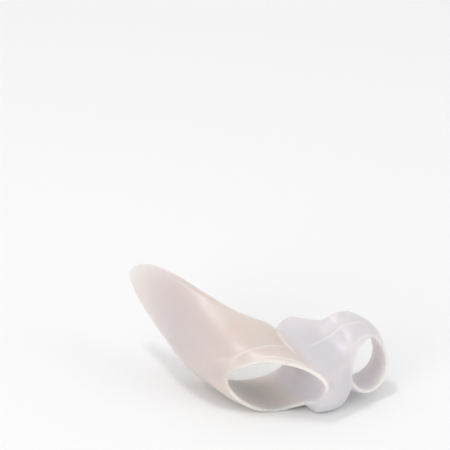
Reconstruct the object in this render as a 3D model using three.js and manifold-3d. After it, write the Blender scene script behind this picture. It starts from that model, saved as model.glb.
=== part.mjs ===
// A bunion corrector: one soft gel moulding with a long side shield, a big toe loop, a separator,
// a second toe loop and a thin flap that lies over the top between the loops.
// Units are millimetres. The loops open to -Y, the shield lies on the -X side and up is +Z.

import * as THREE from 'three';
import { ParametricGeometry } from 'three/addons/geometries/ParametricGeometry.js';
import { mergeVertices } from 'three/addons/utils/BufferGeometryUtils.js';
import Module from 'manifold-3d';

const wasm = await Module();
wasm.setup();

// Driving sizes

const bigLoopWidth = 23;
const bigLoopHeight = 18;
const smallLoopWidth = 16;
const smallLoopHeight = 15;
const loopSpacing = 31.6;
const smallLoopLead = 4;
const smallLoopLift = 5;
const shieldReach = 70;
const shieldRise = 16;
const bigLoopWall = 1.9;
const smallLoopWall = 3.1;
const padWall = 4.6;
const soleWall = 1.2;
const flapWall = 2;
const rimWall = 1.3;
const rimBlend = 6;
const webHeight = 17.4;
const webSlope = 0.27;
const webRise = 1.4;
const webBlend = 4;
const webInset = 0.6;
const webTuck = 1.6;
const separatorRear = 11;
const separatorBlend = 5;
const noseRadius = 4.5;

// Mesh density

const loopSteps = 66;
const wallSteps = 20;
const smallLoopSteps = 36;
const webSteps = 28;
const webWallSteps = 36;
const boreSteps = 54;
const boreLengthSteps = 40;
const mergeReach = 1e-4;

const degrees = Math.PI / 180;
const { clamp, lerp, smoothstep } = THREE.MathUtils;

// Tables. Each row is one section or one line of the moulding.

// The hollow that the shield and the big toe loop wrap. along is a share of shieldReach, width of
// bigLoopWidth, height of bigLoopHeight and lift of shieldRise.
const bigHollow = [
  { along: -0.40, width: 1.00, height: 1.00, lift: 0.00 },
  { along: 0.00, width: 1.00, height: 1.00, lift: 0.00 },
  { along: 0.17, width: 1.03, height: 1.09, lift: 0.00 },
  { along: 0.34, width: 1.16, height: 1.40, lift: 0.00 },
  { along: 0.49, width: 1.26, height: 1.64, lift: 0.02 },
  { along: 0.66, width: 1.27, height: 1.76, lift: 0.18 },
  { along: 0.86, width: 1.25, height: 1.80, lift: 0.42 },
  { along: 1.09, width: 1.22, height: 1.82, lift: 0.72 },
  { along: 1.30, width: 1.20, height: 1.82, lift: 1.00 },
];

// The hollow of the second toe loop. width is a share of smallLoopWidth, height of smallLoopHeight
// and lift of smallLoopLift.
const smallHollow = [
  { along: -0.40, width: 0.96, height: 0.94, lift: 0.60 },
  { along: -0.10, width: 0.98, height: 0.97, lift: 0.90 },
  { along: 0.00, width: 1.00, height: 1.00, lift: 1.00 },
  { along: 0.12, width: 1.06, height: 1.10, lift: 1.05 },
  { along: 0.25, width: 1.20, height: 1.30, lift: 1.10 },
  { along: 0.45, width: 1.40, height: 1.50, lift: 1.15 },
];

// The edges of the shield and its loop, from the separator's side over the top. Each row is a line of
// the wall from the front rim to the rear edge. Angles are in degrees, 0 at the shield's side and 90
// on top. front and rear are shares of shieldReach.
const bigEdges = [
  { frontAngle: 180, front: -0.140, rearAngle: 180, rear: 0.220 },
  { frontAngle: 158, front: -0.150, rearAngle: 160, rear: 0.255 },
  { frontAngle: 138, front: -0.128, rearAngle: 141, rear: 0.288 },
  { frontAngle: 120, front: -0.085, rearAngle: 122, rear: 0.300 },
  { frontAngle: 103, front: -0.040, rearAngle: 104, rear: 0.318 },
  { frontAngle: 88, front: 0.000, rearAngle: 89, rear: 0.360 },
  { frontAngle: 74, front: 0.042, rearAngle: 78, rear: 0.424 },
  { frontAngle: 61, front: 0.073, rearAngle: 68, rear: 0.515 },
  { frontAngle: 49, front: 0.098, rearAngle: 58, rear: 0.627 },
  { frontAngle: 37, front: 0.125, rearAngle: 48, rear: 0.745 },
  { frontAngle: 26, front: 0.148, rearAngle: 36, rear: 0.860 },
  { frontAngle: 15, front: 0.170, rearAngle: 20, rear: 0.958 },
  { frontAngle: 4, front: 0.183, rearAngle: 1, rear: 1.030 },
  { frontAngle: -7, front: 0.182, rearAngle: -17, rear: 1.028 },
  { frontAngle: -18, front: 0.170, rearAngle: -30, rear: 0.925 },
  { frontAngle: -30, front: 0.150, rearAngle: -38, rear: 0.760 },
  { frontAngle: -44, front: 0.120, rearAngle: -50, rear: 0.590 },
  { frontAngle: -62, front: 0.085, rearAngle: -67, rear: 0.465 },
  { frontAngle: -86, front: 0.050, rearAngle: -90, rear: 0.405 },
  { frontAngle: -116, front: 0.010, rearAngle: -118, rear: 0.340 },
  { frontAngle: -148, front: -0.070, rearAngle: -148, rear: 0.270 },
  { frontAngle: -180, front: -0.140, rearAngle: -180, rear: 0.220 },
];

// The edges of the second toe loop, from the separator's side over the top, with the same columns.
const smallEdges = [
  { frontAngle: 0, front: -0.050, rearAngle: 0, rear: 0.160 },
  { frontAngle: 36, front: -0.046, rearAngle: 32, rear: 0.175 },
  { frontAngle: 62, front: -0.010, rearAngle: 56, rear: 0.212 },
  { frontAngle: 86, front: 0.010, rearAngle: 78, rear: 0.228 },
  { frontAngle: 108, front: 0.035, rearAngle: 102, rear: 0.225 },
  { frontAngle: 132, front: 0.050, rearAngle: 130, rear: 0.205 },
  { frontAngle: 160, front: 0.030, rearAngle: 162, rear: 0.160 },
  { frontAngle: 195, front: -0.010, rearAngle: 200, rear: 0.130 },
  { frontAngle: 240, front: -0.040, rearAngle: 245, rear: 0.120 },
  { frontAngle: 300, front: -0.060, rearAngle: 302, rear: 0.130 },
  { frontAngle: 360, front: -0.050, rearAngle: 360, rear: 0.160 },
];

// The web between the loops: the separator in front and the flap behind it. across is a share of
// loopSpacing from the big loop's middle, front and rear are shares of shieldReach.
const webEdges = [
  { across: 0.22, front: -0.045, rear: 0.215 },
  { across: 0.28, front: -0.080, rear: 0.236 },
  { across: 0.35, front: -0.115, rear: 0.263 },
  { across: 0.40, front: -0.132, rear: 0.279 },
  { across: 0.46, front: -0.142, rear: 0.290 },
  { across: 0.54, front: -0.140, rear: 0.298 },
  { across: 0.62, front: -0.130, rear: 0.280 },
  { across: 0.70, front: -0.116, rear: 0.218 },
  { across: 0.79, front: -0.095, rear: 0.184 },
  { across: 0.90, front: -0.055, rear: 0.171 },
  { across: 1.02, front: -0.010, rear: 0.170 },
];

// The pad, where the shield is thickest. Angles are in degrees, along and alongSpread are shares of
// shieldReach.
const pad = { angle: 14, angleSpread: 48, along: 0.48, alongSpread: 0.34 };

// Where the web's lower side leaves the big loop and where it reaches the second one, as shares of
// loopSpacing.
const foot = { leaveFrom: 0.20, leaveTo: 0.36, arriveFrom: 0.68, arriveTo: 0.84 };

// Where the web's upper side comes out of the big loop's skin and where it goes into that of the
// second one, as shares of loopSpacing.
const skin = { outFrom: 0.23, outTo: 0.40, inFrom: 0.92, inTo: 1.07 };

// Where the saddle between the loops rises to the second one, as shares of loopSpacing.
const saddle = { riseFrom: 0.74, riseTo: 0.90 };

// The length of the bores that clear the loops, as shares of shieldReach, and the share of a bore's
// surface that closes each of its ends.
const bores = { front: -0.35, bigRear: 1.20, smallRear: 0.50, cap: 0.05 };

// A Catmull-Rom blend of the four rows about an index, for every column.
function blendRows(rows, index, share) {
  const before = rows[Math.max(index - 1, 0)];
  const start = rows[index];
  const end = rows[index + 1];
  const after = rows[Math.min(index + 2, rows.length - 1)];
  const row = {};
  for (const name of Object.keys(start)) {
    const leave = (end[name] - before[name]) / 2;
    const arrive = (after[name] - start[name]) / 2;
    row[name] = start[name] * (2 * share ** 3 - 3 * share ** 2 + 1)
      + leave * (share ** 3 - 2 * share ** 2 + share)
      + end[name] * (3 * share ** 2 - 2 * share ** 3)
      + arrive * (share ** 3 - share ** 2);
  }
  return row;
}

// The smooth row at a share of the table's length.
function rowAt(rows, share) {
  const place = clamp(share, 0, 1) * (rows.length - 1);
  const index = Math.min(Math.floor(place), rows.length - 2);
  return blendRows(rows, index, place - index);
}

// The smooth row where the column along has the given value.
function rowAlong(rows, along) {
  const next = rows.findIndex((row) => row.along > along);
  const index = next < 0 ? rows.length - 2 : Math.max(next - 1, 0);
  const gap = rows[index + 1].along - rows[index].along;
  return blendRows(rows, index, clamp((along - rows[index].along) / gap, 0, 1));
}

// Each hollow's section at a place along it: an upright ellipse.
function bigSection(y) {
  const row = rowAlong(bigHollow, y / shieldReach);
  const wide = bigLoopWidth / 2 * row.width;
  const high = bigLoopHeight / 2 * row.height;
  return { x: 0, z: soleWall + high + shieldRise * row.lift, wide, high };
}

function smallSection(y) {
  const row = rowAlong(smallHollow, (y + smallLoopLead) / shieldReach);
  const wide = smallLoopWidth / 2 * row.width;
  const high = smallLoopHeight / 2 * row.height;
  return { x: loopSpacing, z: smallLoopLift * row.lift + high, wide, high };
}

// A point at an angle round a hollow and a distance out of it. Nothing goes below the floor.
function pointBeside(section, angle, y, out) {
  const x = section.x - (section.wide + out) * Math.cos(angle * degrees);
  const z = section.z + (section.high + out) * Math.sin(angle * degrees);
  return new THREE.Vector3(x, y, Math.max(z, 0));
}

// The shield's wall swells to the pad's thickness and thins out round it.
function shieldWallAt(angle, y) {
  const turn = (angle - pad.angle) / pad.angleSpread;
  const way = (y / shieldReach - pad.along) / pad.alongSpread;
  return bigLoopWall + (padWall - bigLoopWall) * Math.exp(-turn * turn - way * way);
}

// How far a rounded edge has opened, from 0 at the edge to 1 at its radius.
function roundShare(edge, radius) {
  const bend = 1 - Math.min(edge / radius, 1);
  return Math.sqrt(1 - bend * bend);
}

// The share of the way over a wall's section at v: out along its outer side, back along its inner
// side, with the lines closer together at both edges.
function sectionShare(v) {
  const turn = v < 0.5 ? 2 * v : 2 - 2 * v;
  return (1 - Math.cos(Math.PI * turn)) / 2;
}

// A closed wall between its front rim and its rear edge. u goes round the loop, v round the section.
function loopGeometry({ edges, sectionAt, wallAt, lead, steps }) {
  const surface = (u, v, target) => {
    const row = rowAt(edges, u % 1);
    const share = sectionShare(v);
    const angle = lerp(row.frontAngle, row.rearAngle, share);
    const front = shieldReach * row.front - lead;
    const rear = shieldReach * row.rear - lead;
    const y = lerp(front, rear, share);
    const reach = pointBeside(sectionAt(front), row.frontAngle, front, 0)
      .distanceTo(pointBeside(sectionAt(rear), row.rearAngle, rear, 0));
    const edge = reach * Math.min(share, 1 - share);
    const wall = lerp(rimWall, wallAt(angle, y), smoothstep(edge, 0, rimBlend));
    const round = roundShare(edge, rimWall / 2);
    const inner = rimWall / 2 * (1 - round);
    const outer = lerp(rimWall / 2, wall, round);
    target.copy(pointBeside(sectionAt(y), angle, y, v < 0.5 ? outer : inner));
  };
  return new ParametricGeometry(surface, steps, wallSteps);
}

// The height of a loop's own outline at x: its upper side, or its lower side with a side of -1.
function archHeight(section, wall, x, side) {
  const across = (x - section.x) / (section.wide + wall);
  return section.z + side * (section.high + wall) * Math.sqrt(Math.max(1 - across * across, 0));
}

// A soft upper envelope of some heights.
function softTop(heights) {
  return webBlend * Math.log(heights.reduce((sum, height) => sum + Math.exp(height / webBlend), 0));
}

// The web's upper side wraps both loops and the saddle between them, and tucks its ends under their skin.
function webTop(x, y) {
  const out = smoothstep(x / loopSpacing, skin.outFrom, skin.outTo);
  const into = 1 - smoothstep(x / loopSpacing, skin.inFrom, skin.inTo);
  const rise = webRise * smoothstep(x / loopSpacing, saddle.riseFrom, saddle.riseTo);
  return webTuck * (out * into - 1) + softTop([
    archHeight(bigSection(y), bigLoopWall - webBlend / 2, x, 1),
    archHeight(smallSection(y), smallLoopWall - webBlend / 2, x, 1),
    webHeight + webSlope * y + rise,
  ]);
}

// The web's lower side stands on the floor between the loops. In each loop it runs inside the hollow,
// where the bore takes it away.
function webFoot(x, y) {
  const leave = 1 - smoothstep(x / loopSpacing, foot.leaveFrom, foot.leaveTo);
  const arrive = smoothstep(x / loopSpacing, foot.arriveFrom, foot.arriveTo);
  return leave * archHeight(bigSection(y), -webInset, x, -1)
    + arrive * archHeight(smallSection(y), -webInset, x, -1);
}

// The web: u goes across from loop to loop and v round its section from front to rear and back.
// It is as deep as the loops in front, where it is the separator, and thin behind, where it is the flap.
function webGeometry() {
  const surface = (u, v, target) => {
    const row = rowAt(webEdges, u);
    const share = sectionShare(v);
    const x = loopSpacing * row.across;
    const y = shieldReach * lerp(row.front, row.rear, share);
    const top = webTop(x, y);
    const thin = smoothstep(y, separatorRear - separatorBlend, separatorRear + separatorBlend);
    const depth = lerp(top - webFoot(x, y), flapWall, thin);
    const reach = shieldReach * (row.rear - row.front);
    const round = roundShare(reach * share, noseRadius) * roundShare(reach * (1 - share), rimWall);
    const open = u === 0 || u === 1 ? 0 : depth / 2 * round;
    target.set(x, y, top - depth / 2 + (v < 0.5 ? open : -open));
  };
  return new ParametricGeometry(surface, webSteps, webWallSteps);
}

// The space inside a loop as a closed solid, from well in front of it to well behind it.
function boreGeometry(sectionAt, from, to) {
  const surface = (u, v, target) => {
    const y = lerp(from, to, clamp((v - bores.cap) / (1 - 2 * bores.cap), 0, 1));
    const section = sectionAt(y);
    const end = v === 0 || v === 1;
    const angle = 360 * (u % 1);
    target.copy(end ? new THREE.Vector3(section.x, y, section.z) : pointBeside(section, -angle, y, 0));
  };
  return new ParametricGeometry(surface, boreSteps, boreLengthSteps);
}

// A solid from a closed surface: shared corners are merged, flat slivers left out and faces turned out.
function solidOf(geometry) {
  geometry.deleteAttribute('normal');
  geometry.deleteAttribute('uv');
  const merged = mergeVertices(geometry, mergeReach);
  const corners = merged.index.array;
  const triangles = [];
  for (let i = 0; i < corners.length; i += 3) {
    const [a, b, c] = corners.slice(i, i + 3);
    if (a !== b && b !== c && c !== a) {
      triangles.push([a, b, c]);
    }
  }
  const vertProperties = new Float32Array(merged.attributes.position.array);
  const solidFrom = (list) => new wasm.Manifold(new wasm.Mesh({
    numProp: 3,
    vertProperties,
    triVerts: new Uint32Array(list.flat()),
  }));
  const solid = solidFrom(triangles);
  return solid.volume() > 0 ? solid : solidFrom(triangles.map(([a, b, c]) => [a, c, b]));
}

const shield = solidOf(loopGeometry({
  edges: bigEdges,
  sectionAt: bigSection,
  wallAt: shieldWallAt,
  lead: 0,
  steps: loopSteps,
}));
const smallLoop = solidOf(loopGeometry({
  edges: smallEdges,
  sectionAt: smallSection,
  wallAt: () => smallLoopWall,
  lead: smallLoopLead,
  steps: smallLoopSteps,
}));
const boreFront = shieldReach * bores.front;
const bigBore = solidOf(boreGeometry(bigSection, boreFront, shieldReach * bores.bigRear));
const smallBore = solidOf(boreGeometry(smallSection, boreFront, shieldReach * bores.smallRear));
const web = solidOf(webGeometry()).subtract(bigBore).subtract(smallBore);
const moulding = shield.add(smallLoop).add(web);

const mesh = moulding.getMesh();
const geometry = new THREE.BufferGeometry();
geometry.setAttribute('position', new THREE.BufferAttribute(new Float32Array(mesh.vertProperties), 3));
geometry.setIndex(new THREE.BufferAttribute(new Uint32Array(mesh.triVerts), 1));

const gelGuard = new THREE.Mesh(geometry, new THREE.MeshStandardMaterial({
  color: 0xe6dedd,
  roughness: 0.4,
  metalness: 0,
}));
gelGuard.name = 'gel_guard';

// The origin is below the middle of the whole moulding, on the floor.
const guard = new THREE.Group();
guard.add(gelGuard);
const bounds = new THREE.Box3().setFromObject(gelGuard);
const middle = bounds.getCenter(new THREE.Vector3());
guard.position.set(-middle.x, -middle.y, -bounds.min.z);
export default guard;
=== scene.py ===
import bmesh
import bpy
import numpy as np
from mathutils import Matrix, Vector


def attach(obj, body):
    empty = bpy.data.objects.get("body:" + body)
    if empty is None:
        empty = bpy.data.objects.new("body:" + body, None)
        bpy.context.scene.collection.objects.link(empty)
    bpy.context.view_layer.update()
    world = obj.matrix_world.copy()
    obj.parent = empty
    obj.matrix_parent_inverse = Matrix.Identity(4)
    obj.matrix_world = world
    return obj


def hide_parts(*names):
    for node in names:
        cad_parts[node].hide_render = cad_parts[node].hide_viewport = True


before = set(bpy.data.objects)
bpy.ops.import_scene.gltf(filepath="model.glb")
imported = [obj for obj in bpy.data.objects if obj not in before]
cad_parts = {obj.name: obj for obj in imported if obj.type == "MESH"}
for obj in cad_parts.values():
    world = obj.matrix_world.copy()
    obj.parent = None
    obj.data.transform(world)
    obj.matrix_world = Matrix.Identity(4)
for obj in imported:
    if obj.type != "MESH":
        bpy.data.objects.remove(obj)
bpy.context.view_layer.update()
print("frame loaded:", len(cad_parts), "node")

mm = 0.001
scene = bpy.context.scene

# The camera stands in front on the shield's side and looks down at the loops. Places are in mm.
camera = {
    "lookAt": (-16.88, -4.50, 60.56),
    "back": (-0.4803, -0.7686, 0.4226),
    "distance": 900,
    "lens": 219.6,
    "sensor": 36,
}
# The camera sees from clipNear to clipFar, in metres.
clipNear = 0.05
clipFar = 20


def makeCamera():
    target = Vector(camera["lookAt"]) * mm
    back = Vector(camera["back"]).normalized()
    data = bpy.data.cameras.new("camera")
    data.lens = camera["lens"]
    data.sensor_width = camera["sensor"]
    data.clip_start = clipNear
    data.clip_end = clipFar
    holder = bpy.data.objects.new("camera", data)
    holder.location = target + back * camera["distance"] * mm
    holder.rotation_mode = "QUATERNION"
    holder.rotation_quaternion = (-back).to_track_quat("-Z", "Y")
    scene.collection.objects.link(holder)
    scene.camera = holder


makeCamera()
print("camera made")

# The moulding's sizes in mm. Its loops open to -Y and the shield is on the -X side.
gel = {
    "middle": (11.915, 31.124, 0),
    "bigLoopWidth": 23,
    "bigLoopHeight": 18,
    "smallLoopWidth": 16,
    "smallLoopHeight": 15,
    "loopSpacing": 31.6,
    "smallLoopLead": 4,
    "smallLoopLift": 5,
    "shieldReach": 70,
    "shieldRise": 16,
    "bigLoopWall": 1.9,
    "smallLoopWall": 3.1,
    "padWall": 4.6,
    "soleWall": 1.2,
    "flapWall": 2,
    "rimWall": 1.3,
    "rimBlend": 6,
    "webHeight": 17.4,
    "webSlope": 0.27,
    "webRise": 1.4,
    "webBlend": 4,
    "webInset": 0.6,
    "webTuck": 1.6,
    "separatorRear": 11,
    "separatorBlend": 5,
    "noseRadius": 4.5,
}

# The hollow that the shield and the big toe loop wrap: along, width, height and lift, as shares of
# shieldReach, bigLoopWidth, bigLoopHeight and shieldRise.
bigHollow = np.array([
    (-0.40, 1.00, 1.00, 0.00),
    (0.00, 1.00, 1.00, 0.00),
    (0.17, 1.03, 1.09, 0.00),
    (0.34, 1.16, 1.40, 0.00),
    (0.49, 1.26, 1.64, 0.02),
    (0.66, 1.27, 1.76, 0.18),
    (0.86, 1.25, 1.80, 0.42),
    (1.09, 1.22, 1.82, 0.72),
    (1.30, 1.20, 1.82, 1.00),
])

# The hollow of the second toe loop, with shares of its own sizes in the same order.
smallHollow = np.array([
    (-0.40, 0.96, 0.94, 0.60),
    (-0.10, 0.98, 0.97, 0.90),
    (0.00, 1.00, 1.00, 1.00),
    (0.12, 1.06, 1.10, 1.05),
    (0.25, 1.20, 1.30, 1.10),
    (0.45, 1.40, 1.50, 1.15),
])

# The lines of the shield's wall: the angle and place of the front rim, then of the rear edge.
# Angles are in degrees, 0 at the shield's side and 90 on top, and places are shares of shieldReach.
bigEdges = np.array([
    (180, -0.140, 180, 0.220),
    (158, -0.150, 160, 0.255),
    (138, -0.128, 141, 0.288),
    (120, -0.085, 122, 0.300),
    (103, -0.040, 104, 0.318),
    (88, 0.000, 89, 0.360),
    (74, 0.042, 78, 0.424),
    (61, 0.073, 68, 0.515),
    (49, 0.098, 58, 0.627),
    (37, 0.125, 48, 0.745),
    (26, 0.148, 36, 0.860),
    (15, 0.170, 20, 0.958),
    (4, 0.183, 1, 1.030),
    (-7, 0.182, -17, 1.028),
    (-18, 0.170, -30, 0.925),
    (-30, 0.150, -38, 0.760),
    (-44, 0.120, -50, 0.590),
    (-62, 0.085, -67, 0.465),
    (-86, 0.050, -90, 0.405),
    (-116, 0.010, -118, 0.340),
    (-148, -0.070, -148, 0.270),
    (-180, -0.140, -180, 0.220),
])

# The same for the second toe loop, from the separator's side over the top.
smallEdges = np.array([
    (0, -0.050, 0, 0.160),
    (36, -0.046, 32, 0.175),
    (62, -0.010, 56, 0.212),
    (86, 0.010, 78, 0.228),
    (108, 0.035, 102, 0.225),
    (132, 0.050, 130, 0.205),
    (160, 0.030, 162, 0.160),
    (195, -0.010, 200, 0.130),
    (240, -0.040, 245, 0.120),
    (300, -0.060, 302, 0.130),
    (360, -0.050, 360, 0.160),
])

# The web between the loops: across as a share of loopSpacing, front and rear of shieldReach. The flap's
# free edge is up to 0.010 longer than the solid's, because softening rounds it and lowers its outline.
webEdges = np.array([
    (0.22, -0.045, 0.215),
    (0.28, -0.080, 0.236),
    (0.35, -0.115, 0.270),
    (0.40, -0.132, 0.288),
    (0.46, -0.142, 0.300),
    (0.54, -0.140, 0.308),
    (0.62, -0.130, 0.290),
    (0.70, -0.116, 0.228),
    (0.79, -0.095, 0.184),
    (0.90, -0.055, 0.171),
    (1.02, -0.010, 0.170),
])

# The pad, where the shield is thickest. Then, as shares of loopSpacing: where the web's lower side leaves
# one loop and reaches the other, where its upper side comes out of one loop's skin and goes into the
# other's, and where the saddle rises. The bores' ends are shares of shieldReach, and cap is the share of
# a bore's surface that closes each end.
pad = {"angle": 14, "angleSpread": 48, "along": 0.48, "alongSpread": 0.34}
foot = {"leaveFrom": 0.20, "leaveTo": 0.36, "arriveFrom": 0.68, "arriveTo": 0.84}
skin = {"outFrom": 0.23, "outTo": 0.40, "inFrom": 0.92, "inTo": 1.07}
saddle = {"riseFrom": 0.74, "riseTo": 0.90}
bores = {"front": -0.35, "bigRear": 1.20, "smallRear": 0.50, "cap": 0.05}

# The mesh of each surface, rounds by lines, and the voxels in mm that melt them into one skin.
# mergeReach is in metres, and noLength keeps a normal's length off zero.
meshSteps = {
    "shield": (320, 200),
    "smallLoop": (200, 120),
    "web": (160, 240),
    "bigBore": (160, 120),
    "smallBore": (120, 90),
}
voxel = 0.4
mergeReach = 1e-7
noLength = 1e-12


def smoothStep(value, low, high):
    # 3t^2 - 2t^3 of the share t of the way from low to high
    t = np.clip((value - low) / (high - low), 0, 1)
    return t * t * (3 - 2 * t)


def mix(a, b, share):
    return a + (b - a) * share


def blendRows(rows, index, share):
    # Catmull-Rom: a cubic between two rows whose slopes come from the rows on either side
    before = rows[np.maximum(index - 1, 0)]
    start = rows[index]
    end = rows[index + 1]
    after = rows[np.minimum(index + 2, len(rows) - 1)]
    s = share[..., None]
    return (
        start * (2 * s**3 - 3 * s**2 + 1)
        + (end - before) / 2 * (s**3 - 2 * s**2 + s)
        + end * (3 * s**2 - 2 * s**3)
        + (after - start) / 2 * (s**3 - s**2)
    )


def rowAt(rows, share):
    # the row at a share of the table's length
    place = np.clip(share, 0, 1) * (len(rows) - 1)
    index = np.minimum(np.floor(place).astype(int), len(rows) - 2)
    return blendRows(rows, index, place - index)


def rowAlong(rows, along):
    # the row where the first column has the given value
    index = np.clip(np.searchsorted(rows[:, 0], along, side="right") - 1, 0, len(rows) - 2)
    gap = rows[index + 1, 0] - rows[index, 0]
    return blendRows(rows, index, np.clip((along - rows[index, 0]) / gap, 0, 1))


def bigSection(y):
    # an upright ellipse: middle x and z, half width and half height
    row = rowAlong(bigHollow, y / gel["shieldReach"])
    wide = gel["bigLoopWidth"] / 2 * row[..., 1]
    high = gel["bigLoopHeight"] / 2 * row[..., 2]
    return 0 * y, gel["soleWall"] + high + gel["shieldRise"] * row[..., 3], wide, high


def smallSection(y):
    row = rowAlong(smallHollow, (y + gel["smallLoopLead"]) / gel["shieldReach"])
    wide = gel["smallLoopWidth"] / 2 * row[..., 1]
    high = gel["smallLoopHeight"] / 2 * row[..., 2]
    return 0 * y + gel["loopSpacing"], gel["smallLoopLift"] * row[..., 3] + high, wide, high


def pointBeside(section, angle, y, out):
    # the ellipse grown by out, at an angle in degrees from the -X side over the top, kept off the floor
    x, z, wide, high = section
    turn = np.radians(angle)
    return np.stack(
        [
            x - (wide + out) * np.cos(turn),
            y + 0 * turn,
            np.maximum(z + (high + out) * np.sin(turn), 0),
        ],
        axis=-1,
    )


def roundShare(edge, radius):
    # a quarter circle: 0 at the edge, 1 from the radius on
    bend = 1 - np.minimum(edge / radius, 1)
    return np.sqrt(1 - bend * bend)


def shieldWall(angle, y):
    # the loop's wall plus a bell-shaped swelling over the pad
    turn = (angle - pad["angle"]) / pad["angleSpread"]
    way = (y / gel["shieldReach"] - pad["along"]) / pad["alongSpread"]
    return mix(gel["bigLoopWall"], gel["padWall"], np.exp(-turn * turn - way * way))


def smallWall(angle, y):
    return gel["smallLoopWall"] + 0 * angle


def sectionShare(v):
    # the share of the way over a wall's section: out along its outer side and back along its inner side,
    # with the lines closer together at both edges
    turn = np.where(v < 0.5, 2 * v, 2 - 2 * v)
    return (1 - np.cos(np.pi * turn)) / 2


def wallSurface(edges, sectionAt, wallAt, lead, rounds, lines):
    # u goes round the loop; v goes out along the outer side from front to rear and back inside
    u = (np.arange(rounds) / rounds)[:, None] + np.zeros((1, lines))
    v = (np.arange(lines) / lines)[None, :] + 0 * u
    row = rowAt(edges, u)
    share = sectionShare(v)
    angle = mix(row[..., 0], row[..., 2], share)
    front = gel["shieldReach"] * row[..., 1] - lead
    rear = gel["shieldReach"] * row[..., 3] - lead
    y = mix(front, rear, share)
    start = pointBeside(sectionAt(front), row[..., 0], front, 0)
    end = pointBeside(sectionAt(rear), row[..., 2], rear, 0)
    edge = np.linalg.norm(end - start, axis=-1) * np.minimum(share, 1 - share)
    wall = mix(gel["rimWall"], wallAt(angle, y), smoothStep(edge, 0, gel["rimBlend"]))
    bend = roundShare(edge, gel["rimWall"] / 2)
    inner = gel["rimWall"] / 2 * (1 - bend)
    outer = mix(gel["rimWall"] / 2, wall, bend)
    return pointBeside(sectionAt(y), angle, y, np.where(v < 0.5, outer, inner))


def archHeight(section, wall, x, side):
    # the upper (or lower, with side -1) half of the grown ellipse over x
    middle, z, wide, high = section
    across = (x - middle) / (wide + wall)
    return z + side * (high + wall) * np.sqrt(np.maximum(1 - across * across, 0))


def webTop(x, y):
    # a soft maximum, the logarithm of summed exponentials, of both loops and a sloping saddle that
    # rises to the second toe loop, with its ends tucked under the loops' skin
    blend = gel["webBlend"]
    across = x / gel["loopSpacing"]
    out = smoothStep(across, skin["outFrom"], skin["outTo"])
    into = 1 - smoothStep(across, skin["inFrom"], skin["inTo"])
    rise = gel["webRise"] * smoothStep(across, saddle["riseFrom"], saddle["riseTo"])
    heights = (
        archHeight(bigSection(y), gel["bigLoopWall"] - blend / 2, x, 1),
        archHeight(smallSection(y), gel["smallLoopWall"] - blend / 2, x, 1),
        gel["webHeight"] + gel["webSlope"] * y + rise,
    )
    total = sum(np.exp(height / blend) for height in heights)
    return blend * np.log(total) + gel["webTuck"] * (out * into - 1)


def webFoot(x, y):
    # the floor between the loops, and inside each hollow its lower side less an inset
    across = x / gel["loopSpacing"]
    leave = 1 - smoothStep(across, foot["leaveFrom"], foot["leaveTo"])
    arrive = smoothStep(across, foot["arriveFrom"], foot["arriveTo"])
    big = archHeight(bigSection(y), -gel["webInset"], x, -1)
    small = archHeight(smallSection(y), -gel["webInset"], x, -1)
    return leave * big + arrive * small


def webSurface(rounds, lines):
    # u goes across from loop to loop; v goes back over the top and forward below
    u = np.linspace(0, 1, rounds)[:, None] + np.zeros((1, lines))
    v = (np.arange(lines) / lines)[None, :] + 0 * u
    row = rowAt(webEdges, u)
    share = sectionShare(v)
    x = gel["loopSpacing"] * row[..., 0]
    y = gel["shieldReach"] * mix(row[..., 1], row[..., 2], share)
    top = webTop(x, y)
    rear = gel["separatorRear"]
    thin = smoothStep(y, rear - gel["separatorBlend"], rear + gel["separatorBlend"])
    depth = mix(top - webFoot(x, y), gel["flapWall"], thin)
    reach = gel["shieldReach"] * (row[..., 2] - row[..., 1])
    bend = roundShare(reach * share, gel["noseRadius"])
    bend = bend * roundShare(reach * (1 - share), gel["rimWall"])
    bend[[0, -1]] = 0
    half = np.where(v < 0.5, 1, -1) * depth / 2 * bend
    return np.stack([x, y, top - depth / 2 + half], axis=-1)


def boreSurface(sectionAt, rear, rounds, lines):
    # u goes round the hollow and v along it, with a pole in the middle of each end
    front = gel["shieldReach"] * bores["front"]
    u = (np.arange(rounds) / rounds)[:, None] + np.zeros((1, lines))
    v = np.linspace(0, 1, lines)[None, :] + 0 * u
    share = np.clip((v - bores["cap"]) / (1 - 2 * bores["cap"]), 0, 1)
    y = mix(front, gel["shieldReach"] * rear, share)
    section = sectionAt(y)
    points = pointBeside(section, -360 * u, y, 0)
    middle = np.stack([section[0], y, section[1]], axis=-1)
    points[:, 0] = middle[:, 0]
    points[:, -1] = middle[:, -1]
    return points


def gridMesh(name, grid, closedRounds, closedLines):
    # a quad between each two rounds and two lines, wrapped round where the grid is closed
    rounds, lines = grid.shape[:2]
    i = np.arange(rounds if closedRounds else rounds - 1)[:, None]
    j = np.arange(lines if closedLines else lines - 1)[None, :]
    corners = [
        ((i + a) % rounds) * lines + (j + b) % lines for a, b in ((0, 0), (1, 0), (1, 1), (0, 1))
    ]
    faces = np.stack(corners, axis=-1).reshape(-1, 4)
    middle = np.array(gel["middle"])
    mesh = bpy.data.meshes.new(name)
    mesh.from_pydata(((grid.reshape(-1, 3) - middle) * mm).tolist(), [], faces.tolist())
    work = bmesh.new()
    work.from_mesh(mesh)
    bmesh.ops.remove_doubles(work, verts=work.verts, dist=mergeReach)
    bmesh.ops.dissolve_degenerate(work, dist=mergeReach, edges=work.edges)
    bmesh.ops.recalc_face_normals(work, faces=work.faces)
    if work.calc_volume(signed=True) < 0:
        bmesh.ops.reverse_faces(work, faces=work.faces)
    work.to_mesh(mesh)
    work.free()
    holder = bpy.data.objects.new(name, mesh)
    scene.collection.objects.link(holder)
    return holder


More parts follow.
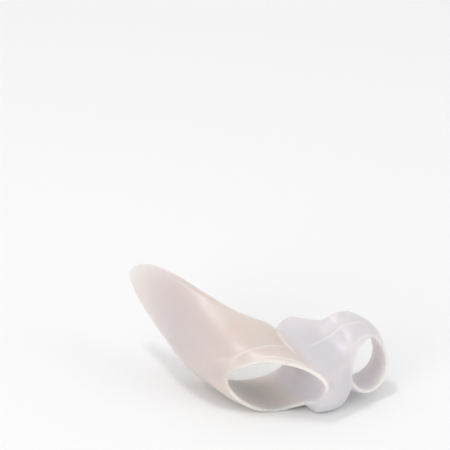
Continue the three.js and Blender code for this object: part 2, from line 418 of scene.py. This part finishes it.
def finishedMesh(holder):
    # the object's mesh with its modifiers applied; the object itself goes
    bpy.context.view_layer.update()
    shown = holder.evaluated_get(bpy.context.evaluated_depsgraph_get())
    mesh = bpy.data.meshes.new_from_object(shown)
    old = holder.data
    bpy.data.objects.remove(holder)
    bpy.data.meshes.remove(old)
    return mesh


def neighbourMean(points, edges, degree):
    # each point's mean neighbour
    ends = np.concatenate([edges[:, 0], edges[:, 1]])
    others = np.concatenate([edges[:, 1], edges[:, 0]])
    sums = [np.bincount(ends, weights=points[others, k], minlength=len(points)) for k in range(3)]
    return np.stack(sums, axis=-1) / degree[:, None]


def pointNormals(points, faces):
    # the sum of the neighbouring quads' diagonal cross products, made one long
    cross = np.cross(
        points[faces[:, 2]] - points[faces[:, 0]],
        points[faces[:, 3]] - points[faces[:, 1]],
    )
    sums = [
        np.bincount(faces.ravel(), weights=np.repeat(cross[:, k], 4), minlength=len(points))
        for k in range(3)
    ]
    normals = np.stack(sums, axis=-1)
    return normals / np.maximum(np.linalg.norm(normals, axis=-1), noLength)[:, None]


def meanRise(points, edges, faces, degree):
    # how far each point's mean neighbour stands over it along the normal, and the normals
    normals = pointNormals(points, faces)
    return ((neighbourMean(points, edges, degree) - points) * normals).sum(axis=-1), normals


def meshArrays(mesh):
    # points in mm in the moulding's own place, edges and quads
    points = np.empty(len(mesh.vertices) * 3)
    mesh.vertices.foreach_get("co", points)
    edges = np.empty(len(mesh.edges) * 2, dtype=np.int32)
    mesh.edges.foreach_get("vertices", edges)
    corners = np.empty(len(mesh.loops), dtype=np.int32)
    mesh.loops.foreach_get("vertex_index", corners)
    points = points.reshape(-1, 3) / mm + np.array(gel["middle"])
    return points, edges.reshape(-1, 2), corners.reshape(-1, 4)


def meltSurfaces():
    # the walls and the web joined into one skin of even quads
    web = gridMesh("web", webSurface(*meshSteps["web"]), False, True)
    bigBore = boreSurface(bigSection, bores["bigRear"], *meshSteps["bigBore"])
    smallBore = boreSurface(smallSection, bores["smallRear"], *meshSteps["smallBore"])
    cutters = [
        gridMesh("bigBore", bigBore, True, False),
        gridMesh("smallBore", smallBore, True, False),
    ]
    for cutter in cutters:
        cut = web.modifiers.new(cutter.name, "BOOLEAN")
        cut.operation = "DIFFERENCE"
        cut.solver = "EXACT"
        cut.object = cutter
    webMesh = finishedMesh(web)
    for cutter in cutters:
        bpy.data.objects.remove(cutter)
    shieldGrid = wallSurface(bigEdges, bigSection, shieldWall, 0, *meshSteps["shield"])
    lead = gel["smallLoopLead"]
    loopGrid = wallSurface(smallEdges, smallSection, smallWall, lead, *meshSteps["smallLoop"])
    shield = gridMesh("shield", shieldGrid, True, True)
    loop = gridMesh("smallLoop", loopGrid, True, True)
    work = bmesh.new()
    for mesh in (webMesh, shield.data, loop.data):
        work.from_mesh(mesh)
    joined = bpy.data.meshes.new("joined")
    work.to_mesh(joined)
    work.free()
    bpy.data.objects.remove(shield)
    bpy.data.objects.remove(loop)
    holder = bpy.data.objects.new("joined", joined)
    scene.collection.objects.link(holder)
    melt = holder.modifiers.new("melt", "REMESH")
    melt.mode = "VOXEL"
    melt.voxel_size = voxel * mm
    return finishedMesh(holder)


# Zones of the skin, each from where its share is 0 to where it is 1. outside is a level about the hollows'
# ellipses, upper is the upward part of the normal and the others are places in mm. The foot is the
# separator's, the top is the web's upper side.
zones = {
    "outside": (1.03, 1.10),
    "upper": (0.2, 0.5),
    "footLeft": (11, 13),
    "footRight": (24, 22),
    "footHigh": (6, 3),
    "topLeft": (9.5, 14),
    "topRight": (27, 21),
    "topLow": (8, 12),
}


def zoneShare(value, name):
    return smoothStep(value, *zones[name])


def hollowLevel(section, points):
    # below 1 inside the ellipse of a hollow, above 1 outside it
    x, z, wide, high = section
    return np.hypot((points[:, 0] - x) / wide, (points[:, 2] - z) / high)


def outsideShare(points):
    # 0 on the walls' inner sides, 1 a little out of them
    y = points[:, 1]
    level = np.minimum(hollowLevel(bigSection(y), points), hollowLevel(smallSection(y), points))
    return zoneShare(level, "outside")


# Fine raised lines from the mould, each a curve seen from above: y over x, or x over y where over is 1.
# at, slope and bend give the curve about one place, low and high its ends, all in mm. strength is the
# line's share of the height in lineShape.
lineColumns = ("over", "about", "at", "slope", "bend", "low", "high", "strength")
lineRows = [
    (0, 0, 9.1, -0.20, 0.008, -14, 10, 0.8),
    (0, 0, 2.6, -0.88, 0, -5, 11, 0.9),
    (1, 9, 8.2, 0.06, 0, 2, 18, 1),
    (0, 31.5, 3.7, -0.25, -0.011, 12, 37, 0.9),
    (0, 31.5, -1.9, 0.26, 0, 23, 38, 0.8),
]
mouldLines = [dict(zip(lineColumns, row)) for row in lineRows]
lineShape = {"height": 0.24, "spread": 0.42, "fade": 6}


def lineShare(points, normals):
    # a bell over the distance to the nearest line, faded at the line's ends, on upper sides only
    share = np.zeros(len(points))
    for line in mouldLines:
        over = points[:, line["over"]]
        other = points[:, 1 - line["over"]]
        way = over - line["about"]
        slope = line["slope"] + 2 * line["bend"] * way
        gap = other - (line["at"] + line["slope"] * way + line["bend"] * way**2)
        gap = gap / np.sqrt(1 + slope**2)
        fade = smoothStep(over, line["low"], line["low"] + lineShape["fade"])
        fade = fade * (1 - smoothStep(over, line["high"] - lineShape["fade"], line["high"]))
        bell = np.exp(-((gap / lineShape["spread"]) ** 2))
        share = np.maximum(share, line["strength"] * fade * bell)
    return share * zoneShare(normals[:, 2], "upper") * outsideShare(points)


# How the voxel skin is softened. Each turn moves a point by a share of the way to its neighbours' mean.
soften = {
    "stepTurns": 6,
    "shrink": 0.5,
    "swell": 0.52,
    "creaseTurns": 300,
    "creaseRadius": 8,
    "creaseFill": 0.8,
    "calmTurns": 250,
    "calm": 0.8,
    "footCalm": 0.2,
    "lastTurns": 3,
    "spread": 0.7,
}

# A free edge is a skin whose curving, in 1/mm, is past these values. Each mask spreads from the edges in
# its turns and is then multiplied by its gain.
edgeCurve = (0.12, 0.34)
edgeMasks = {
    "keep": {"turns": 150, "gain": 5},
    # tone and glow are masks of painted light: bright rims on the free edges and a glow beside them, where
    # light passes through the thin gel
    "tone": {"turns": 4, "gain": 1.5},
    "glow": {"turns": 260, "gain": 3.2},
}


def spreadShare(share, edges, degree, turns):
    # repeated neighbour means of one number on each point
    for turn in range(turns):
        sums = np.bincount(edges[:, 0], weights=share[edges[:, 1]], minlength=len(share))
        sums = sums + np.bincount(edges[:, 1], weights=share[edges[:, 0]], minlength=len(share))
        share = (1 - soften["spread"]) * share + soften["spread"] * sums / degree
    return share


def edgeMask(points, edges, faces, degree, names):
    # the named masks of the free edges
    rise = meanRise(points, edges, faces, degree)[0]
    sharp = smoothStep(-rise / voxel**2, *edgeCurve)
    masks = []
    for name in names:
        mask = edgeMasks[name]
        share = spreadShare(sharp, edges, degree, mask["turns"]) * mask["gain"]
        masks.append(np.clip(share, 0, 1))
    return masks


def footShare(points):
    # 1 low on the web, between the two loops
    x, z = points[:, 0], points[:, 2]
    return zoneShare(x, "footLeft") * zoneShare(x, "footRight") * zoneShare(z, "footHigh")


def topShare(points, normals):
    # 1 on the web's upper side, between the shield's corner line and the second toe loop's crown
    x, z = points[:, 0], points[:, 2]
    share = zoneShare(x, "topLeft") * zoneShare(x, "topRight") * zoneShare(z, "topLow")
    return share * zoneShare(normals[:, 2], "upper")


# Where the gel's tones lie: the flap's from and to in mm across, leaning over with height; the pad's
# painted shade in degrees round the shield and in shares of shieldReach; the tip's painted glow from and
# to in shares of shieldReach.
toneSpread = {
    "flap": (3.6, 9.5),
    "flapLean": 0.12,
    "padAngle": 52,
    "padMiddle": 0.56,
    "padAlong": 0.36,
    "tip": (0.62, 1.0),
}


def softenMesh(mesh):
    points, edges, faces = meshArrays(mesh)
    degree = np.bincount(edges.ravel(), minlength=len(points))
    # a voxel skin is stepped: each second pass pushes back what the first took away
    for turn in range(soften["stepTurns"]):
        points += soften["shrink"] * (neighbourMean(points, edges, degree) - points)
        points -= soften["swell"] * (neighbourMean(points, edges, degree) - points)
    # creases fill up until they are as round as creaseRadius; rounded rims stay as they are
    limit = voxel**2 / 4 / soften["creaseRadius"]
    outside = outsideShare(points)
    for turn in range(soften["creaseTurns"]):
        rise, normals = meanRise(points, edges, faces, degree)
        points += normals * (np.maximum(rise - limit, 0) * outside)[:, None] * soften["creaseFill"]
    # the web is calmed: its top away from the thin edges, and the corners of its foot
    keep = edgeMask(points, edges, faces, degree, ["keep"])[0]
    top = topShare(points, pointNormals(points, faces)) * (1 - keep)
    calm = np.maximum(top, soften["footCalm"] * footShare(points)) * soften["calm"]
    for turn in range(soften["calmTurns"]):
        points += (neighbourMean(points, edges, degree) - points) * calm[:, None]
    for turn in range(soften["lastTurns"]):
        points += soften["shrink"] * (neighbourMean(points, edges, degree) - points)
    # a narrow mask of the free edges for their painted bright rims, and a wide one for the painted glow
    # beside them
    paintedRimLight, edgeGlow = edgeMask(points, edges, faces, degree, ["tone", "glow"])
    # the mould's lines stand proud
    normals = pointNormals(points, faces)
    line = lineShare(points, normals)
    points += normals * (line * lineShape["height"])[:, None]
    points[:, 2] = np.maximum(points[:, 2], 0)
    placed = (points - np.array(gel["middle"])) * mm
    mesh.vertices.foreach_set("co", placed.ravel())
    mesh.update()
    # tones: painted bright rims and glow on the edges, a painted highlight on the lines, the cool flap,
    # painted shade on the thick pad and a painted glow on the pale tip
    x, z, wide, high = bigSection(points[:, 1])
    angle = np.degrees(np.arctan2((points[:, 2] - z) / high, (x - points[:, 0]) / wide))
    along = points[:, 1] / gel["shieldReach"]
    turned = (angle - pad["angle"]) / toneSpread["padAngle"]
    way = (along - toneSpread["padMiddle"]) / toneSpread["padAlong"]
    tones = {
        "paintedRimLight": paintedRimLight,
        "edgeGlow": edgeGlow,
        "paintedLineHighlight": line,
        "flapTone": smoothStep(points[:, 0] - toneSpread["flapLean"] * points[:, 2], *toneSpread["flap"]),
        "paintedPadShade": np.exp(-turned * turned - way * way),
        "paintedTipGlow": smoothStep(along, *toneSpread["tip"]),
    }
    for name, values in tones.items():
        layer = mesh.attributes.new(name, "FLOAT", "POINT")
        layer.data.foreach_set("value", np.clip(values, 0, 1).astype(np.float32))


def makeMoulding():
    mesh = meltSurfaces()
    print("surfaces melted:", len(mesh.vertices), "points")
    softenMesh(mesh)
    mesh.name = "gelMoulding"
    mesh.shade_smooth()
    moulding = bpy.data.objects.new("gelMoulding", mesh)
    scene.collection.objects.link(moulding)
    return moulding


moulding = makeMoulding()
print("moulding softened")

# Milky gel: most of the light scatters inside it and a little passes through. Colours are linear.
gelFinish = {
    "side": (0.690, 0.598, 0.550, 1),
    # pad is painted shade: the thick pad's middle darker and more mauve
    "pad": (0.630, 0.568, 0.580, 1),
    "flap": (0.690, 0.675, 0.715, 1),
    # tip is painted light: the thin tip paler, as light passes through it
    "tip": (0.730, 0.710, 0.725, 1),
    # glow is painted light beside the free edges; the clouds also mix towards it
    "glow": (0.780, 0.730, 0.700, 1),
    # edge is painted light: bright rims on the free edges
    "edge": (0.950, 0.850, 0.750, 1),
    # line is a painted highlight along the mould's raised lines
    "line": (0.850, 0.790, 0.775, 1),
    "scatter": 0.0060,
    "scatterRadius": (1, 0.78, 0.68),
    "passes": 0.08,
    "refraction": 1.41,
    "roughness": (0.32, 0.44),
    "coat": 0.5,
    "coatRoughness": 0.32,
}

# How much of each tone shows. The tip, glow and edge tones are painted light, the line tone a painted
# highlight and the cloud the gel's own tone.
toneStrength = {"tip": 0.8, "glow": 0.75, "cloud": 0.2, "edge": 0.9, "line": 0.7}

# The noise of the slow clouds, the mould's fine grain and the faint flow waves. Depths are in metres.
cloudNoise = {"Scale": 55, "Detail": 2, "Roughness": 0.5}
grainNoise = {"Scale": 2600, "Detail": 3, "Roughness": 0.55}
waveNoise = {"Scale": 240, "Detail": 1, "Roughness": 0.4}
grainDepth = {"Strength": 0.12, "Distance": 0.00008}
waveDepth = {"Strength": 0.10, "Distance": 0.0006}


def makeNode(tree, kind, **inputs):
    node = tree.nodes.new("ShaderNode" + kind)
    for name, value in inputs.items():
        node.inputs[name].default_value = value
    return node


def mixColors(tree, share, first, second, strength=1):
    # a colour mix whose factor is an attribute or mask, times a strength
    factor = makeNode(tree, "Math")
    factor.operation = "MULTIPLY"
    tree.links.new(share, factor.inputs[0])
    factor.inputs[1].default_value = strength
    blend = tree.nodes.new("ShaderNodeMix")
    blend.data_type = "RGBA"
    tree.links.new(factor.outputs[0], blend.inputs["Factor"])
    for socket, color in (("A", first), ("B", second)):
        if isinstance(color, tuple):
            blend.inputs[socket].default_value = color
        else:
            tree.links.new(color, blend.inputs[socket])
    return blend.outputs["Result"]


def toneOf(tree, name):
    reader = tree.nodes.new("ShaderNodeAttribute")
    reader.attribute_name = name
    return reader.outputs["Fac"]


def makeGelMaterial():
    material = bpy.data.materials.new("milkyGel")
    material.use_nodes = True
    tree = material.node_tree
    shader = tree.nodes["Principled BSDF"]
    place = tree.nodes.new("ShaderNodeTexCoord").outputs["Object"]

    # slow clouds in the gel, about 2 cm across
    cloud = makeNode(tree, "TexNoise", **cloudNoise)
    tree.links.new(place, cloud.inputs["Vector"])

    # painted shade: the thick pad's middle darker and more mauve
    color = mixColors(tree, toneOf(tree, "paintedPadShade"), gelFinish["side"], gelFinish["pad"])
    color = mixColors(tree, toneOf(tree, "flapTone"), color, gelFinish["flap"])
    # painted light: the thin tip paler, as light passes through it
    color = mixColors(tree, toneOf(tree, "paintedTipGlow"), color, gelFinish["tip"], toneStrength["tip"])
    # painted light: a glow beside the free edges
    color = mixColors(tree, toneOf(tree, "edgeGlow"), color, gelFinish["glow"], toneStrength["glow"])
    color = mixColors(tree, cloud.outputs["Fac"], color, gelFinish["glow"], toneStrength["cloud"])
    # painted light: bright rims on the free edges
    color = mixColors(tree, toneOf(tree, "paintedRimLight"), color, gelFinish["edge"], toneStrength["edge"])
    # a painted highlight along the mould's raised lines
    color = mixColors(tree, toneOf(tree, "paintedLineHighlight"), color, gelFinish["line"], toneStrength["line"])
    tree.links.new(color, shader.inputs["Base Color"])

    # satin skin: a fine grain from the mould and faint flow waves
    grain = makeNode(tree, "TexNoise", **grainNoise)
    waves = makeNode(tree, "TexNoise", **waveNoise)
    for node in (grain, waves):
        tree.links.new(place, node.inputs["Vector"])
    waveBump = makeNode(tree, "Bump", **waveDepth)
    tree.links.new(waves.outputs["Fac"], waveBump.inputs["Height"])
    grainBump = makeNode(tree, "Bump", **grainDepth)
    tree.links.new(grain.outputs["Fac"], grainBump.inputs["Height"])
    tree.links.new(waveBump.outputs["Normal"], grainBump.inputs["Normal"])
    tree.links.new(grainBump.outputs["Normal"], shader.inputs["Normal"])

    # the skin is a little duller where the grain is deep
    shine = makeNode(tree, "MapRange")
    shine.inputs["To Min"].default_value, shine.inputs["To Max"].default_value = gelFinish["roughness"]
    tree.links.new(grain.outputs["Fac"], shine.inputs["Value"])
    tree.links.new(shine.outputs["Result"], shader.inputs["Roughness"])

    shader.inputs["Subsurface Weight"].default_value = 1
    shader.inputs["Subsurface Radius"].default_value = gelFinish["scatterRadius"]
    shader.inputs["Subsurface Scale"].default_value = gelFinish["scatter"]
    shader.inputs["Transmission Weight"].default_value = gelFinish["passes"]
    shader.inputs["IOR"].default_value = gelFinish["refraction"]
    shader.inputs["Coat Weight"].default_value = gelFinish["coat"]
    shader.inputs["Coat Roughness"].default_value = gelFinish["coatRoughness"]
    return material


moulding.data.materials.append(makeGelMaterial())
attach(moulding, "root")
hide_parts("gel_guard")

# The studio: a pale table that runs out of view, a soft white world and three lamps, in metres and watts.
# The key lamp stands behind and above, and makes the soft highlight on the shield.
studio = {
    "tableHalf": 3.0,
    "tableColor": (0.93, 0.93, 0.93, 1),
    "tableRoughness": 0.8,
    "world": 0.76,
    "lampTarget": (0, 0, 0.01),
}
lamps = [
    {"name": "keyLamp", "place": (-0.18, 0.19, 1.07), "size": (0.26, 0.14), "power": 2.1},
    {"name": "sideLamp", "place": (-1.0, -0.35, 0.40), "size": (0.8, 0.5), "power": 2.6},
    {"name": "frontLamp", "place": (0.7, -1.0, 0.6), "size": (0.8, 0.6), "power": 2.2},
]


def makeTable():
    half = studio["tableHalf"]
    corners = [(-half, -half, 0), (half, -half, 0), (half, half, 0), (-half, half, 0)]
    mesh = bpy.data.meshes.new("table")
    mesh.from_pydata(corners, [], [(0, 1, 2, 3)])
    table = bpy.data.objects.new("table", mesh)
    scene.collection.objects.link(table)
    material = bpy.data.materials.new("paleTable")
    material.use_nodes = True
    shader = material.node_tree.nodes["Principled BSDF"]
    shader.inputs["Base Color"].default_value = studio["tableColor"]
    shader.inputs["Roughness"].default_value = studio["tableRoughness"]
    mesh.materials.append(material)


def makeLamp(name, place, size, power):
    data = bpy.data.lights.new(name, "AREA")
    data.shape = "RECTANGLE"
    data.size, data.size_y = size
    data.energy = power
    lamp = bpy.data.objects.new(name, data)
    lamp.location = place
    lamp.rotation_mode = "QUATERNION"
    way = Vector(studio["lampTarget"]) - Vector(place)
    lamp.rotation_quaternion = way.to_track_quat("-Z", "Y")
    scene.collection.objects.link(lamp)


def makeWorld():
    world = bpy.data.worlds.new("studio")
    world.use_nodes = True
    world.node_tree.nodes["Background"].inputs["Color"].default_value = (1, 1, 1, 1)
    world.node_tree.nodes["Background"].inputs["Strength"].default_value = studio["world"]
    scene.world = world


makeTable()
makeWorld()
for lamp in lamps:
    makeLamp(**lamp)
scene.view_settings.view_transform = "Standard"
print("studio made")
